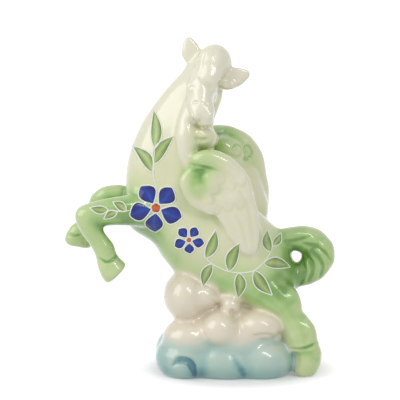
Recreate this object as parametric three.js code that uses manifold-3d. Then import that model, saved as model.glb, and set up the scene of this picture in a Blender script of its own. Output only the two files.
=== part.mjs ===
// Glazed porcelain figurine of a rearing winged horse on a bank of cloud.
//
// The figure is modelled the way the pottery makes it: separate slip castings, each trimmed to the ones
// that carry it and luted on with a thin film of slip before the glaze firing. Nothing moves.
// Millimetres, +Z up. The horse faces -X, its near (left) side faces -Y, and the table is Z = 0.
import * as THREE from "three";
import { LoftGeometry } from "three/addons/geometries/LoftGeometry.js";
import { mergeVertices } from "three/addons/utils/BufferGeometryUtils.js";
import Module from "manifold-3d";

const wasm = await Module();
wasm.setup();

// Driving dimensions

const SEAM = 0.3; // film of slip between two castings
const VENT_DIAMETER = 8; // hole in the underside that lets kiln air out
const VENT_DEPTH = 12;
const TABLE_SIZE = 1000; // side of the block that cuts the feet flat, wider than any figure

const CLOUD_LENGTH = 82; // over the two end lobes
const CLOUD_DEPTH = 62; // front lobe to back lobe
const CLOUD_LOBE_HEIGHT = 25; // top of the lower lobes
const CLOUD_CENTRE_X = 15; // of the cloud, from the horse's own zero
const BELLY_BED = 11.5; // how deep the belly beds into the cloud

const HIP_HEIGHT = 60.5; // middle of the haunch above the table
const HIP_X = 34.5;
const HAUNCH_WIDTH = 48;
const HAUNCH_DEPTH = 50;
const BARREL_WIDTH = 48;
const BARREL_DEPTH = 60;
const CHEST_WIDTH = 44;
const CHEST_DEPTH = 52;

const NECK_ROOT_WIDTH = 44;
const NECK_ROOT_DEPTH = 58;
const NECK_TOP_WIDTH = 16;
const NECK_TOP_DEPTH = 14;
const NECK_RISE = 87.5; // root of the neck up to the poll
const NECK_LEAN = 17; // how far the poll lies behind the root
const NECK_BOW = 11; // how far the neck arches forward of a straight line
const NECK_BOW_HEIGHT = 0.4; // share of the way up where it arches most
const NECK_FULLNESS = 1.6; // power of the taper: higher keeps the lower neck fuller

const SKULL_WIDTH = 17.5;
const SKULL_DEPTH = 20;
const MUZZLE_WIDTH = 14.5;
const MUZZLE_DEPTH = 14;
const EAR_LENGTH = 20.5;
const EAR_WIDTH = 13;
const EAR_THICKNESS = 6;
const FORELOCK_DIAMETER = 20.5;

const FOREARM_DIAMETER = 17;
const KNEE_DIAMETER = 14;
const CANNON_DIAMETER = 11.5;
const FORE_FETLOCK_DIAMETER = 13.8;
const CORONET_DIAMETER = 12;
const FORE_HOOF_WIDTH = 19.2;
const GASKIN_DIAMETER = 22;
const HOCK_DIAMETER = 19.5;
const HOCK_HEIGHT = 27;
const SHANK_DIAMETER = 15.7; // waist above the hock's swelling
const CUFF_HEIGHT = 17; // end of the leg, which overhangs the hoof
const CUFF_DIAMETER = 18.8;
const HIND_HOOF_WIDTH = 17;
const FAR_HIND_LEG_SHIFT = 7; // the far hind leg stands further forward

const TAIL_DIAMETER = 16;
const TAIL_STRANDS = 5;
const TAIL_TURNS = 1.6;
const STRAND_RELIEF = 0.09; // share of the tail's radius that its strands stand out

const WING_STANDOFF = 2; // middle of the wing from the barrel's widest line
const WING_SEAT = 7; // inner end of the wing's root from the middle of the horse
const HOOD_DIAMETER = 13.2; // rolled leading edge
const HOOD_FLATNESS = 0.85; // thickness of the hood over its height
const LOBE_DIAMETER = 10; // rounded edge at the shoulder
const PRIMARY_WIDTH = 10;
const PRIMARY_COUNT = 5;
const COVERT_WIDTH = 11;
const LOWER_COVERT_COUNT = 4;
const UPPER_COVERT_COUNT = 3;
const FEATHER_FLATNESS = 0.5; // thickness of a feather over its width
const FAR_WING_SHIFT = [6.5, 6.5]; // the far wing stands back and higher

// Places on the horse that the castings share

const NEAR = -1;
const FAR = 1;
const vector = (x, y, z) => new THREE.Vector3(x, y, z);
const HIP = vector(HIP_X, 0, HIP_HEIGHT);
const SHOULDER = vector(HIP_X - 52, 0, HIP_HEIGHT + 36);
const BARREL = vector(HIP_X - 31.5, 0, HIP_HEIGHT + 24);
const DOCK = vector(HIP_X + 14, 0, HIP_HEIGHT + 17);
const NECK_ROOT = vector(SHOULDER.x + 5, 0, SHOULDER.z + 2);
const POLL = vector(NECK_ROOT.x + NECK_LEAN, 0, NECK_ROOT.z + NECK_RISE);
const WING_ROOT = vector(BARREL.x + 10, 0, BARREL.z + 24.5);
const SADDLE_HEIGHT = HIP_HEIGHT - HAUNCH_DEPTH / 2 + BELLY_BED;

const CREAM = 0xe8e4cf;
const PALE_GREEN = 0xcfdcae;
const LEAF_GREEN = 0xa6cb85;
const SKY_BLUE = 0xa3cbd3;

// Solids from three.js geometry

function solid(geometry) {
  const shell = new THREE.BufferGeometry();
  shell.setAttribute("position", geometry.attributes.position);
  shell.setIndex(geometry.index);
  const merged = mergeVertices(shell, 1e-4);
  const vertProperties = new Float32Array(merged.attributes.position.array);
  const triVerts = new Uint32Array(merged.index.array);
  return new wasm.Manifold(new wasm.Mesh({ numProp: 3, vertProperties, triVerts }));
}

function joined(solids) {
  return solids.reduce((sum, next) => sum.add(next));
}

// Cuts each neighbour away, and keeps the one body that is left once loose trimmings fall off.
function trimmed(piece, neighbours) {
  const cut = neighbours.reduce((rest, next) => rest.subtract(next), piece);
  return cut.decompose().reduce((largest, next) => (next.volume() > largest.volume() ? next : largest));
}

function ellipsoid(centre, radii, { grow = 0, detail = 2 } = {}) {
  const geometry = new THREE.IcosahedronGeometry(1, detail);
  geometry.scale(radii[0] + grow, radii[1] + grow, radii[2] + grow);
  geometry.translate(centre.x, centre.y, centre.z);
  return solid(geometry);
}

// Everything under the table, cut away to leave a flat foot.
function underTable() {
  const block = new THREE.BoxGeometry(TABLE_SIZE, TABLE_SIZE, TABLE_SIZE);
  return solid(block.translate(0, 0, -TABLE_SIZE / 2));
}

// One oval section of a loft, with half-sizes along the side axis and across it. Raised strands wave the
// outline in and out.
function ovalSection({ centre, tangent, side, wide, deep, sides, strands, turn }) {
  const across = side.clone().addScaledVector(tangent, -side.dot(tangent)).normalize();
  const normal = vector(0, 0, 0).crossVectors(tangent, across);
  return Array.from({ length: sides }, (_, i) => {
    const angle = (2 * Math.PI * i) / sides;
    const relief = strands ? 1 + STRAND_RELIEF * Math.cos(strands * (angle + turn)) : 1;
    return centre
      .clone()
      .addScaledVector(across, wide * relief * Math.cos(angle))
      .addScaledVector(normal, deep * relief * Math.sin(angle));
  });
}

// A solid lofted along a smooth line through stations of { at, wide, deep }, where wide and deep are
// half-sizes. Its ends are domed, or flat where roundStart or roundEnd is false.
function loft(stations, options = {}) {
  const { sides = 12, steps = 2, grow = 0, side = vector(0, 1, 0) } = options;
  const { roundStart = true, roundEnd = true, strands = 0, turns = 0 } = options;
  const line = new THREE.CatmullRomCurve3(stations.map((station) => station.at));
  const halfSizes = stations.map(({ wide, deep }) => vector(wide + grow, deep + grow, 0));
  const sizes = new THREE.CatmullRomCurve3(halfSizes, false, "catmullrom");
  const sections = [];
  const addSection = (t, shrink, slide) => {
    const tangent = line.getTangent(t).normalize();
    const size = sizes.getPoint(t).multiplyScalar(shrink);
    const centre = line.getPoint(t).addScaledVector(tangent, slide);
    const turn = 2 * Math.PI * turns * t;
    const section = { centre, tangent, side, wide: size.x, deep: size.y, sides, strands, turn };
    sections.push(ovalSection(section));
  };
  const addDome = (t, outward, angles) => {
    const size = sizes.getPoint(t);
    const length = Math.min(size.x, size.y);
    angles
      .map(THREE.MathUtils.degToRad)
      .forEach((angle) => addSection(t, Math.cos(angle), outward * length * Math.sin(angle)));
  };
  const count = steps * (stations.length - 1);
  if (roundStart) addDome(0, -1, [74, 40]);
  for (let i = 0; i <= count; i++) addSection(i / count, 1, 0);
  if (roundEnd) addDome(1, 1, [40, 74]);
  return solid(new LoftGeometry(sections, { capStart: true, capEnd: true }));
}

// Stations from rows of [x, y, z, wide, deep], with places measured from a landmark.
function stationsFrom(origin, rows) {
  return rows.map(([x, y, z, wide, deep]) => ({ at: origin.clone().add(vector(x, y, z)), wide, deep }));
}

// Torso and neck

function torso(grow) {
  const rows = [
    [-65.5, 0, 37, CHEST_WIDTH * 0.34, CHEST_DEPTH * 0.34],
    [-52, 0, 36, CHEST_WIDTH / 2, CHEST_DEPTH / 2],
    [-31.5, 0, 24, BARREL_WIDTH / 2, BARREL_DEPTH / 2],
    [-14, 0, 11, BARREL_WIDTH / 2 - 1, BARREL_DEPTH / 2 - 1],
    [0, 0, 0, HAUNCH_WIDTH / 2, HAUNCH_DEPTH / 2],
    [4.5, 0, -4.5, HAUNCH_WIDTH * 0.42, HAUNCH_DEPTH * 0.4],
  ];
  return loft(stationsFrom(HIP, rows), { sides: 20, grow });
}

function neckCentre(t) {
  const turn = Math.PI * t ** (Math.log(0.5) / Math.log(NECK_BOW_HEIGHT));
  return NECK_ROOT.clone().lerp(POLL, t).add(vector(-NECK_BOW * Math.sin(turn), 0, 0));
}

function neckHalfSizes(t) {
  const taper = t ** NECK_FULLNESS;
  return {
    wide: THREE.MathUtils.lerp(NECK_ROOT_WIDTH, NECK_TOP_WIDTH, taper) / 2,
    deep: THREE.MathUtils.lerp(NECK_ROOT_DEPTH, NECK_TOP_DEPTH, taper) / 2,
  };
}

function neck(grow) {
  const stations = [0, 0.2, 0.4, 0.6, 0.8, 1].map((t) => ({ at: neckCentre(t), ...neckHalfSizes(t) }));
  return loft(stations, { sides: 16, grow });
}

// Mane

// A point on the neck's skin: t runs from its root to the poll, and the angle, in degrees, from the far
// side over the throat (90) and the near side (180) to the crest (270).
function onNeck(t, angle, lift) {
  const { wide, deep } = neckHalfSizes(t);
  const turn = THREE.MathUtils.degToRad(angle);
  const out = vector(-(deep + lift) * Math.sin(turn), (wide + lift) * Math.cos(turn), 0);
  return neckCentre(t).add(out);
}

// A lock of mane laid on the neck, from rows of [t, angle, lift, half-width].
function maneLock(rows, grow) {
  const stations = rows.map(([t, angle, lift, half]) => ({
    at: onNeck(t, angle, lift),
    wide: half,
    deep: half,
  }));
  return loft(stations, { sides: 9, grow, side: vector(0.3, 1, 0) });
}

function crestLock(grow) {
  const rows = [
    [0.9, 270, -1.5, 5.5],
    [0.76, 266, -1.2, 6],
    [0.6, 262, -4, 5.4],
    [0.45, 257, -3.8, 6],
    [0.26, 250, -2, 5],
  ];
  return maneLock(rows, grow);
}

function sideLock(grow) {
  const rows = [
    [0.9, 196, 1, 4],
    [0.72, 190, 1.5, 5.5],
    [0.52, 194, 2, 6.5],
    [0.35, 205, 2, 6],
    [0.22, 222, 2, 3.5],
  ];
  return maneLock(rows, grow);
}

function collarLock(grow) {
  const rows = [
    [0.56, 202, 1, 4.5],
    [0.52, 216, 2.5, 6.5],
    [0.49, 236, 2.5, 6.5],
    [0.48, 258, 1, 4.5],
  ];
  return maneLock(rows, grow);
}

// Head, turned back over the near shoulder

function head(grow) {
  const rows = [
    [2.3, 2, -1.5, SKULL_WIDTH * 0.46, SKULL_DEPTH * 0.46],
    [-0.8, -8, -8, SKULL_WIDTH / 2, SKULL_DEPTH / 2],
    [-3, -14, -14.5, SKULL_WIDTH * 0.47, SKULL_DEPTH / 2],
    [-3.4, -19, -21.5, MUZZLE_WIDTH * 0.47, MUZZLE_DEPTH * 0.55],
    [-2.4, -22, -27.5, MUZZLE_WIDTH / 2, MUZZLE_DEPTH / 2],
    [-1.2, -22.5, -31.5, MUZZLE_WIDTH * 0.38, MUZZLE_DEPTH * 0.38],
  ];
  const skull = loft(stationsFrom(POLL, rows), { sides: 12, grow, side: vector(1, 0, 0) });
  const place = (x, y, z) => POLL.clone().add(vector(x, y, z));
  const small = { grow, detail: 1 };
  const features = [-1, 1].flatMap((flank) => [
    ellipsoid(place(-2.8 + flank * SKULL_WIDTH * 0.34, -17, -13), [3.2, 4.5, 4], small),
    ellipsoid(place(-3 + flank * SKULL_WIDTH * 0.27, -9.5, -19), [4.5, 7.5, 6.5], small),
    ellipsoid(place(-2.4 + flank * MUZZLE_WIDTH * 0.25, -26, -28.5), [3, 3.2, 3.2], small),
  ]);
  return joined([skull, ...features]);
}

function forelock(grow) {
  const half = FORELOCK_DIAMETER / 2;
  const rows = [
    [6.5, 3, -1.5, half * 0.78, half * 0.78],
    [4.8, -3, 0, half, half],
    [2.2, -11, -3.2, half * 0.9, half * 0.82],
    [0.8, -16, -7.5, half * 0.7, half * 0.56],
  ];
  return loft(stationsFrom(POLL, rows), { grow, side: vector(1, 0, 0) });
}

// A leaf-shaped ear, hollowed on the side that faces the viewer.
function ear(root, direction, grow) {
  const ahead = direction.clone().normalize();
  const side = vector(ahead.z, 0, -ahead.x);
  const station = (along, width, thickness, forward = 0) => ({
    at: root.clone().addScaledVector(ahead, along * EAR_LENGTH).add(vector(0, -forward, 0)),
    wide: (width * EAR_WIDTH) / 2,
    deep: (thickness * EAR_THICKNESS) / 2,
  });
  const blade = [
    station(-0.22, 0.6, 1),
    station(0.25, 0.9, 1),
    station(0.55, 1, 0.8),
    station(0.9, 0.45, 0.45),
  ];
  const front = EAR_THICKNESS * 0.52;
  const hollow = [
    station(0.18, 0.2, 0.3, front),
    station(0.48, 0.5, 0.5, front),
    station(0.82, 0.14, 0.3, front),
  ];
  return loft(blade, { grow, side }).subtract(loft(hollow, { sides: 6, side }));
}

function nearEar(grow) {
  return ear(POLL.clone().add(vector(6.4, -6.3, -11.4)), vector(16, -2, 4.5), grow);
}

function farEar(grow) {
  return ear(POLL.clone().add(vector(-6.4, -0.5, -4.6)), vector(-4.8, 1, 17), grow);
}

// Legs

// A raised foreleg: a forearm to the knee, a cannon to the fetlock, and a hoof with a coronet band.
function foreleg(forearm, cannon, foot, grow) {
  const half = FORE_HOOF_WIDTH / 2;
  const coronet = CORONET_DIAMETER / 2;
  const footSizes = [coronet, coronet + 1.1, half * 0.86, half];
  const hoof = foot.map((place, i) => [...place, footSizes[i] * 0.92, footSizes[i]]);
  return joined([
    loft(stationsFrom(SHOULDER, forearm), { sides: 10, grow }),
    loft(stationsFrom(SHOULDER, cannon), { sides: 10, grow }),
    loft(stationsFrom(SHOULDER, hoof), { sides: 10, steps: 1, grow, roundEnd: false }),
  ]);
}

function nearForeleg(grow) {
  const side = -CHEST_WIDTH / 2;
  const arm = FOREARM_DIAMETER / 2;
  const knee = KNEE_DIAMETER / 2;
  const shin = CANNON_DIAMETER / 2;
  const fetlock = FORE_FETLOCK_DIAMETER / 2;
  const forearm = [
    [-4, side + 14, 2, 12, 13],
    [-20, side + 8, 3, arm + 1, arm + 1.5],
    [-37, side + 4, 2.5, arm - 1, arm],
    [-49, side + 2.5, 0.8, knee, knee],
  ];
  const cannon = [
    [-49.5, side + 2.5, 0.3, knee, knee],
    [-46.5, side + 2, -7.5, shin + 0.3, shin + 0.6],
    [-42.7, side + 2, -12.8, shin, shin + 0.2],
    [-38, side + 2, -20, fetlock - 0.2, fetlock],
  ];
  const foot = [
    [-38, side + 2, -22],
    [-36.8, side + 2, -25.8],
    [-34.3, side + 2, -30.8],
    [-30.5, side + 2, -34.6],
  ];
  return foreleg(forearm, cannon, foot, grow);
}

function farForeleg(grow) {
  const side = CHEST_WIDTH / 2;
  const arm = FOREARM_DIAMETER / 2;
  const knee = KNEE_DIAMETER / 2;
  const shin = CANNON_DIAMETER / 2;
  const forearm = [
    [-4, side - 14, 2, 12, 13],
    [-18, side - 10, 4, arm + 0.5, arm],
    [-31, side - 8, 5, arm - 1, arm - 1],
    [-42, side - 7, 3.5, knee, knee],
  ];
  const cannon = [
    [-42, side - 7, 3, knee, knee],
    [-46, side - 7, -5, shin, shin + 0.4],
    [-50.5, side - 7, -12.5, shin + 0.6, shin + 1],
  ];
  const foot = [
    [-50.3, side - 7, -12],
    [-51.8, side - 7, -14.5],
    [-54.5, side - 7, -19.5],
    [-55.8, side - 7, -24],
  ];
  return foreleg(forearm, cannon, foot, grow);
}

// A hind leg from inside the haunch down to a cuff, over a hoof that stands on the table.
function hindLeg(hand, forward, grow) {
  const origin = vector(HIP.x - forward, 0, 0);
  const side = hand * (HAUNCH_WIDTH / 2 - 8);
  const gaskin = GASKIN_DIAMETER / 2;
  const waist = SHANK_DIAMETER / 2;
  const hock = HOCK_DIAMETER / 2;
  const cuff = CUFF_DIAMETER / 2;
  const shank = [
    [2, side * 0.65, HIP.z - 6, gaskin + 2, gaskin + 4],
    [15, side * 0.92, HIP.z - 17.5, gaskin - 0.5, gaskin - 0.5],
    [18.8, side, HOCK_HEIGHT + 9.5, waist, waist],
    [24, side, HOCK_HEIGHT + 1, hock, hock],
    [26, side, CUFF_HEIGHT + 4, hock - 0.3, hock - 0.3],
    [27, side, CUFF_HEIGHT, cuff, cuff],
  ];
  const half = HIND_HOOF_WIDTH / 2;
  const hoof = [
    [28.8, side, CUFF_HEIGHT + 0.3, half * 0.9, half * 0.9],
    [30.4, side, CUFF_HEIGHT - 3.5, half, half],
    [29.8, side, CUFF_HEIGHT / 2, half * 0.97, half * 0.97],
    [27, side, -SEAM, half * 0.74, half * 0.78],
  ];
  const leg = joined([
    loft(stationsFrom(origin, shank), { sides: 14, grow, roundEnd: false }),
    loft(stationsFrom(origin, hoof), { steps: 1, grow, roundStart: false, roundEnd: false }),
  ]);
  return leg.subtract(underTable());
}

function nearHindLeg(grow) {
  return hindLeg(NEAR, 0, grow);
}

function farHindLeg(grow) {
  return hindLeg(FAR, FAR_HIND_LEG_SHIFT, grow);
}

// Tail: a thick twisted lock that loops out from the dock and back to the haunch

function tail(grow) {
  const half = TAIL_DIAMETER / 2;
  const rows = [
    [-4, 0, 1, half * 0.85, half * 0.9],
    [9, 1, 1.8, half * 0.87, half * 0.88],
    [17.5, 2, -0.6, half * 0.97, half * 0.97],
    [22, 2, -7.5, half * 1.15, half * 1.15],
    [20, 1, -14.8, half * 1.12, half * 1.12],
    [13.5, 0, -19.3, half * 0.95, half * 0.95],
    [5, -1, -22, half * 0.75, half * 0.75],
  ];
  const twist = { sides: 4 * TAIL_STRANDS, steps: 3, strands: TAIL_STRANDS, turns: TAIL_TURNS };
  return loft(stationsFrom(DOCK, rows), { ...twist, grow });
}

// Wings: a rolled hood along the leading edge, a lobe at the shoulder, and three rows of feathers

// Points of a wing are [along, up, out] from its root, where out stands off the body.
function wing(hand, shift, grow) {
  const offset = BARREL_WIDTH / 2 + WING_STANDOFF;
  const place = ([along, up, out]) =>
    WING_ROOT.clone().add(vector(along + shift[0], hand * (offset + out), up + shift[1]));
  const stations = (points, halves, flatness) =>
    points.map((point, i) => ({ at: place(point), wide: halves[i] * flatness, deep: halves[i] }));

  const rootOut = 1;
  const rootHalf = (offset + rootOut - WING_SEAT) / 2;
  const shoulder = ellipsoid(place([-6, 8, rootOut - rootHalf]), [14, rootHalf, 16], { grow, detail: 1 });
  const plateLine = [
    [-9, 14, -1],
    [2, 4, -1],
    [11, -14, -1],
    [16, -32, -1.5],
  ];
  const plate = loft(stations(plateLine, [10, 14, 11, 6], 0.25), { sides: 10, grow });
  const hoodLine = [
    [-15, 22.5, 1.5],
    [-10.5, 23, 2],
    [-4, 22.3, 2],
    [3.5, 18.5, 1.5],
    [9.5, 13, 1],
    [14.2, 5, 0.8],
    [17.3, -5, 0.5],
  ];
  const hoodHalves = [0.7, 0.93, 1, 0.94, 0.8, 0.64, 0.46].map((share) => (share * HOOD_DIAMETER) / 2);
  const hood = loft(stations(hoodLine, hoodHalves, HOOD_FLATNESS), { sides: 8, grow });
  const lobeLine = [
    [-17, 16, 0],
    [-20.5, 11, 0.5],
    [-19.5, 4, 0.5],
    [-14.5, -3, 0],
    [-7.5, -8, -0.5],
  ];
  const lobeHalves = [0.6, 0.95, 1, 0.85, 0.55].map((share) => (share * LOBE_DIAMETER) / 2);
  const lobe = loft(stations(lobeLine, lobeHalves, 1), { sides: 8, grow });

  // A fan of feathers between an outer and an inner one, each a line of root, bend and tip.
  const fan = (count, outer, inner, width, steps) =>
    Array.from({ length: count }, (_, i) => {
      const line = outer.map((point, k) =>
        vector(...point).lerp(vector(...inner[k]), i / (count - 1)).toArray(),
      );
      const halves = [0.4, 0.5, 0.24].map((share) => share * width);
      return loft(stations(line, halves, FEATHER_FLATNESS), { sides: 6, steps, grow, roundStart: false });
    });
  const primaries = fan(
    PRIMARY_COUNT,
    [[10.7, 13.9, 0.5], [17.5, -9, 0.5], [20, -38, -1.5]],
    [[-6, 5.4, 0.5], [0, -8, 0.5], [4, -24, -1]],
    PRIMARY_WIDTH,
    2,
  );
  const lowerCoverts = fan(
    LOWER_COVERT_COUNT,
    [[13, 12, 1.5], [14, 2, 2.5], [15, -6, 1.5]],
    [[-9, 8, 1.5], [-7, -1, 2.5], [-6, -10, 1.5]],
    COVERT_WIDTH,
    1,
  );
  const upperCoverts = fan(
    UPPER_COVERT_COUNT,
    [[10, 17, 2], [11, 10, 3.5], [11.5, 3, 2.5]],
    [[-6, 17, 2], [-5, 9, 3.5], [-4.5, 1, 2.5]],
    COVERT_WIDTH,
    1,
  );
  return joined([shoulder, plate, hood, lobe, ...primaries, ...lowerCoverts, ...upperCoverts]);
}

function nearWing(grow) {
  return wing(NEAR, [0, 0], grow);
}

function farWing(grow) {
  return wing(FAR, FAR_WING_SHIFT, grow);
}

// Cloud base

function cloudPlace(x, y, z) {
  return vector(CLOUD_CENTRE_X + x, y, z);
}

// Rounded lobes along the table, and puffs heaped on them up to the belly.
function cloud() {
  const endX = CLOUD_LENGTH / 2;
  const sideY = CLOUD_DEPTH / 2;
  const lobe = CLOUD_LOBE_HEIGHT / 2;
  const coarse = { detail: 1 };
  const coreBase = 12;
  const coreRadii = [endX - 5, sideY - 6, SADDLE_HEIGHT - coreBase];
  const core = ellipsoid(cloudPlace(0, 0, coreBase), coreRadii, coarse);
  const lobes = [NEAR, FAR].flatMap((hand) => [
    ellipsoid(cloudPlace(15 - endX, hand * (sideY - 20), lobe - 1), [15, 20, lobe + 1], coarse),
    ellipsoid(cloudPlace(endX - 19, hand * (sideY - 20), lobe - 2), [19, 20, lobe + 1], coarse),
    ellipsoid(cloudPlace(-1, hand * (sideY - 19), lobe - 2), [20, 19, lobe], coarse),
  ]);
  const nearPuffs = [
    ellipsoid(cloudPlace(21 - endX, -8, SADDLE_HEIGHT - 6), [17.5, 18, 17.5]),
    ellipsoid(cloudPlace(-9, 11 - sideY, 2 * lobe), [13.5, 11, 12.5]),
    ellipsoid(cloudPlace(2.5, 16 - sideY, SADDLE_HEIGHT - 9), [8, 8, 7], coarse),
    ellipsoid(cloudPlace(endX - 18, 15 - sideY, 2 * lobe + 3), [16.5, 13, 11]),
  ];
  const farPuffs = [
    ellipsoid(cloudPlace(27 - endX, sideY - 14, SADDLE_HEIGHT - 14), [15, 13, 14], coarse),
    ellipsoid(cloudPlace(8, sideY - 12, 2 * lobe + 2), [15, 11, 13], coarse),
    ellipsoid(cloudPlace(endX - 15, sideY - 17, 2 * lobe), [13, 13, 11], coarse),
  ];
  return joined([core, ...lobes, ...nearPuffs, ...farPuffs]);
}

// The curling wave crest at the front left of the cloud, with the lobe that it curls over.
function waveCurl() {
  const corner = vector(CLOUD_CENTRE_X - CLOUD_LENGTH / 2, -CLOUD_DEPTH / 2, 0);
  const crest = stationsFrom(corner, [
    [5, 11, 2, 5, 5],
    [3.5, 9, 12, 5.5, 5.5],
    [8, 8, 20, 6, 6],
    [16, 6, 20, 5.5, 5.5],
    [22.5, 4.5, 13, 4.5, 4.5],
    [24.5, 4, 4, 3, 3],
  ]);
  const curledOver = ellipsoid(corner.clone().add(vector(13, 9, 6)), [9, 9, 7.5], { detail: 1 });
  return joined([loft(crest, { sides: 8 }), curledOver]);
}

// The cloud stands on a flat underside with a vent in the middle of it.
function cloudBase() {
  const vent = new THREE.CylinderGeometry(VENT_DIAMETER / 2, VENT_DIAMETER / 2, 2 * VENT_DEPTH, 16);
  vent.rotateX(Math.PI / 2).translate(CLOUD_CENTRE_X, 0, 0);
  return joined([cloud(), waveCurl()]).subtract(underTable()).subtract(solid(vent));
}

// Assembly: every casting is trimmed to those listed before it, which carry it

const castings = [
  ["torso", PALE_GREEN, torso],
  ["neck", CREAM, neck],
  ["head", CREAM, head],
  ["forelock", CREAM, forelock],
  ["near_ear", CREAM, nearEar],
  ["far_ear", CREAM, farEar],
  ["near_wing", PALE_GREEN, nearWing],
  ["far_wing", PALE_GREEN, farWing],
  ["near_foreleg", LEAF_GREEN, nearForeleg],
  ["far_foreleg", LEAF_GREEN, farForeleg],
  ["near_hind_leg", LEAF_GREEN, nearHindLeg],
  ["far_hind_leg", LEAF_GREEN, farHindLeg],
  ["tail", LEAF_GREEN, tail],
  ["side_lock", CREAM, sideLock],
  ["crest_lock", CREAM, crestLock],
  ["collar_lock", CREAM, collarLock],
  ["cloud_base", SKY_BLUE, cloudBase],
];

function mesh(name, colour, casting) {
  const { numProp, vertProperties, triVerts } = casting.getMesh();
  const geometry = new THREE.BufferGeometry();
  geometry.setAttribute("position", new THREE.BufferAttribute(vertProperties, numProp));
  geometry.setIndex(new THREE.BufferAttribute(triVerts, 1));
  geometry.computeVertexNormals();
  const material = new THREE.MeshStandardMaterial({ color: colour, roughness: 0.12, metalness: 0 });
  const made = new THREE.Mesh(geometry, material);
  made.name = name;
  return made;
}

const figurine = new THREE.Group();
const seats = [];
castings.forEach(([name, colour, make]) => {
  figurine.add(mesh(name, colour, trimmed(make(0), seats)));
  seats.push(make(SEAM));
});

// The origin is the point on the table under the middle of the figure.
const middle = new THREE.Box3().setFromObject(figurine).getCenter(vector(0, 0, 0));
figurine.children.forEach((child) => child.position.set(-middle.x, -middle.y, 0));

export default figurine;
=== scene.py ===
"""Looks of the glazed porcelain winged horse, built around its packed castings.

Lengths are in metres, in the frame of the castings: +Z is up, the horse faces -X and its near side
faces -Y. The castings are fused into one glazed skin, as a firing does, and the skin is then divided
among them again, so that each piece stands for its own casting.
"""
import math

import bpy
import numpy as np
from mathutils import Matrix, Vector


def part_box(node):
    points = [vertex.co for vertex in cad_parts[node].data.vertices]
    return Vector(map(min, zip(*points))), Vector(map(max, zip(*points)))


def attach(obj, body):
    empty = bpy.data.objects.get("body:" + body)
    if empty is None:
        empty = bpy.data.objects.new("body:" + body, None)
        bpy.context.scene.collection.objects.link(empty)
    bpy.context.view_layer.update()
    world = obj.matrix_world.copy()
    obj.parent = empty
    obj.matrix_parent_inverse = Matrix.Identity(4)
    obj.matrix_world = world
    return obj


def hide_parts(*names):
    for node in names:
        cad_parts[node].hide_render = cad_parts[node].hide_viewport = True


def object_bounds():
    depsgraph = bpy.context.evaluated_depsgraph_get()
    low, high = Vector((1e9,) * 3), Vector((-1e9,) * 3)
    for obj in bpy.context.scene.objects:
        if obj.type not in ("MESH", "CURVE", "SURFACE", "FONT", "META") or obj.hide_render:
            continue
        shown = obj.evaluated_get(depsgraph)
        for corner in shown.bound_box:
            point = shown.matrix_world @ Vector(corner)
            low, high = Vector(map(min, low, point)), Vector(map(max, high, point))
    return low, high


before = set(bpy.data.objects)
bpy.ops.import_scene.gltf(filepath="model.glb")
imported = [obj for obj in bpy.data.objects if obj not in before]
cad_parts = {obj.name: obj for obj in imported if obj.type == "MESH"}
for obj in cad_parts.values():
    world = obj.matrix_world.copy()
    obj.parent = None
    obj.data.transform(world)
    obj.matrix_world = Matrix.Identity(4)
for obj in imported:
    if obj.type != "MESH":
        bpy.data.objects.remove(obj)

import openvdb as vdb
from mathutils import Quaternion, Vector
from mathutils.bvhtree import BVHTree

CAD_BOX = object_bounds()
MM = 0.001
# The sides of the horse, as the sign that Y has there
NEAR = -1
FAR = 1
# Keeps a division by a length away from nothing
TINY = 1e-12

# The photograph's view

PHOTO_PIXELS = 400
PHOTO_SPAN = 237.6 * MM
CAMERA_DISTANCE = 1.4
CAMERA_RISE = math.radians(10)
CAMERA_TARGET = Vector((1.3, 0, 103)) * MM
CAMERA_PLACE = CAMERA_TARGET + CAMERA_DISTANCE * Vector((0, -math.cos(CAMERA_RISE), math.sin(CAMERA_RISE)))


def photo_ray(pixel, hand=NEAR):
    """Start and aim of the ray through a pixel. The far side's is the mirror image of it."""
    right = (pixel[0] / PHOTO_PIXELS - 0.5) * PHOTO_SPAN
    up = (0.5 - pixel[1] / PHOTO_PIXELS) * PHOTO_SPAN
    seen = CAMERA_TARGET + Vector((right, up * math.sin(CAMERA_RISE), up * math.cos(CAMERA_RISE)))
    mirror = Vector((1, -hand, 1))
    return CAMERA_PLACE * mirror, (seen - CAMERA_PLACE) * mirror


# Distance fields: arrays over a lattice of voxels that hold the distance to a surface, negative inside

VOXEL = 0.6 * MM
# How far from its surface a field is known, and how far the lattice of voxels goes past the castings
BAND_WIDTH = 9 * MM
BAND = round(BAND_WIDTH / VOXEL)
MARGIN = 6 * MM
# How far a blur reaches, in sigmas
BLUR_REACH = 2.6
FIRST = np.floor((np.array(CAD_BOX[0]) - MARGIN) / VOXEL).astype(int)
LAST = np.ceil((np.array(CAD_BOX[1]) + MARGIN) / VOXEL).astype(int)
SHAPE = tuple(LAST - FIRST + 1)
AXES = [(FIRST[i] + np.arange(SHAPE[i])) * VOXEL for i in range(3)]


def distance_field(points, **faces):
    """Distance to a closed surface of triangles or quads, known within BAND voxels of it."""
    lattice = vdb.createLinearTransform(voxelSize=VOXEL)
    grid = vdb.FloatGrid.createLevelSetFromPolygons(points, transform=lattice, halfWidth=BAND, **faces)
    field = np.empty(SHAPE, np.float32)
    grid.copyToArray(field, ijk=tuple(map(int, FIRST)))
    return field


def zero_surface(field):
    """Points and quads of the surface where a field is zero."""
    grid = vdb.FloatGrid(BAND * VOXEL)
    grid.copyFromArray(field, ijk=tuple(map(int, FIRST)))
    grid.transform = vdb.createLinearTransform(voxelSize=VOXEL)
    points, quads = grid.convertToQuads(isovalue=0.0)
    return points, quads


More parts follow.
